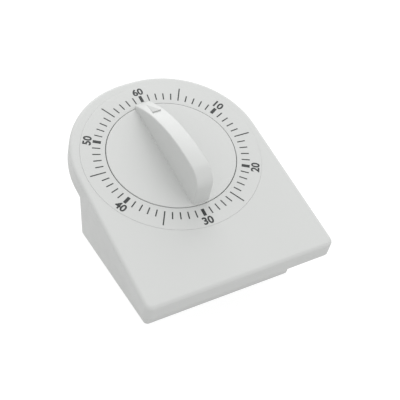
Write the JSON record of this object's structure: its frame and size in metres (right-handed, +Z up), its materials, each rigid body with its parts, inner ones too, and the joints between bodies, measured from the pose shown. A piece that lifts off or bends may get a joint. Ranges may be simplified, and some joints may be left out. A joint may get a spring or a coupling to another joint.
{
  "type": "kitchen timer",
  "caption": "Wind-up kitchen timer with a sloping round-headed face, a large grip knob over a minute dial, a stand, and a spring movement with a bell.",
  "frame": {"origin": "centre of the case's footprint box, on the surface it stands on", "axes": "+Z up; +Y to the back, from the low front edge up the sloping face to its round head; +X to the right seen from the front"},
  "size_m": [0.0812, 0.0989, 0.0591],
  "materials": {
    "case": "satin moulded, off-white",
    "dial": "satin, printed with a dial",
    "knob": "satin moulded, off-white",
    "rubber": "matt",
    "steel": "plated",
    "spring_steel": "blued",
    "brass": "stamped",
    "bell": "bright plated"
  },
  "bodies": {
    "case": {"front_housing": "case", "rear_housing": "case", "dial_plate": "dial", "rubber_feet": "rubber", "housing_screws": "steel", "front_movement_plate": "steel", "back_movement_plate": "steel", "movement_pillars": "steel", "pillar_nuts": "steel", "movement_screws": "steel", "spring_post": "steel", "mainspring": "spring_steel", "hammer_spring": "spring_steel", "trip_spring": "spring_steel", "bell": "bell", "bell_post": "steel", "bell_screw": "steel"},
    "knob_and_arbor": {"knob": "knob", "main_arbor": "steel", "arbor_clip": "steel", "friction_washer": "brass", "main_wheel": "brass", "ratchet_wheel": "steel", "alarm_cam": "brass", "click_stud": "steel", "click_spring": "spring_steel"},
    "click": {"click_lever": "steel"},
    "second": {"second_arbor": "steel", "second_wheel": "brass"},
    "third": {"third_arbor": "steel", "third_wheel": "brass", "star_wheel": "brass"},
    "escape": {"escape_arbor": "steel", "escape_wheel": "brass"},
    "balance": {"pallet_arbor": "steel", "pallet_lever": "steel", "balance_bar": "brass"},
    "hammer": {"hammer_arbor": "steel", "hammer_tail": "steel", "hammer_arm": "steel"},
    "trip": {"trip_arbor": "steel", "trip_lever": "steel"}
  },
  "joints": [
    {"name": "knob_turn", "type": "hinge", "parent": "case", "child": "knob_and_arbor", "pos_m": [0, 0.01364, 0.02926], "axis": [0, 0.3007, -0.9537], "range_deg": [0, 360], "deforming": ["mainspring"]},
    {"name": "second_turn", "type": "hinge", "parent": "case", "child": "second", "pos_m": [-0.00903, 0.00221, 0.02566], "axis": [0, 0.3007, -0.9537], "range_deg": [-1800, 0]},
    {"name": "third_turn", "type": "hinge", "parent": "case", "child": "third", "pos_m": [0.00175, -0.00554, 0.02322], "axis": [0, 0.3007, -0.9537], "range_deg": [0, 9000]},
    {"name": "escape_turn", "type": "hinge", "parent": "case", "child": "escape", "pos_m": [0.01317, -0.00907, 0.0221], "axis": [0, 0.3007, -0.9537], "range_deg": [-36000, 0]},
    {"name": "pallet_swing", "type": "hinge", "parent": "case", "child": "balance", "pos_m": [0.01797, -0.00114, 0.0246], "axis": [0, 0.3007, -0.9537], "range_deg": [-6, 6]},
    {"name": "hammer_swing", "type": "hinge", "parent": "case", "child": "hammer", "pos_m": [-0.013, -0.01211, 0.02115], "axis": [0, 0.3007, -0.9537], "range_deg": [-14, 3.7], "stiffness_Nm_per_rad": 0.002, "deforming": ["hammer_spring"]},
    {"name": "trip_drop", "type": "hinge", "parent": "case", "child": "trip", "pos_m": [-0.016, 0.01554, 0.02986], "axis": [0, -0.3007, 0.9537], "range_deg": [0, 6], "stiffness_Nm_per_rad": 0.002, "deforming": ["trip_spring"]},
    {"name": "click_lift", "type": "hinge", "parent": "knob_and_arbor", "child": "click", "pos_m": [-0.00579, 0.00562, 0.03177], "axis": [0, 0.3007, -0.9537], "range_deg": [0, 12], "stiffness_Nm_per_rad": 0.001, "deforming": ["click_spring"]}
  ],
  "couplings": [
    {"joint": "second_turn", "follows": "knob_turn", "ratio": -5},
    {"joint": "third_turn", "follows": "knob_turn", "ratio": 25},
    {"joint": "escape_turn", "follows": "knob_turn", "ratio": -100}
  ]
}
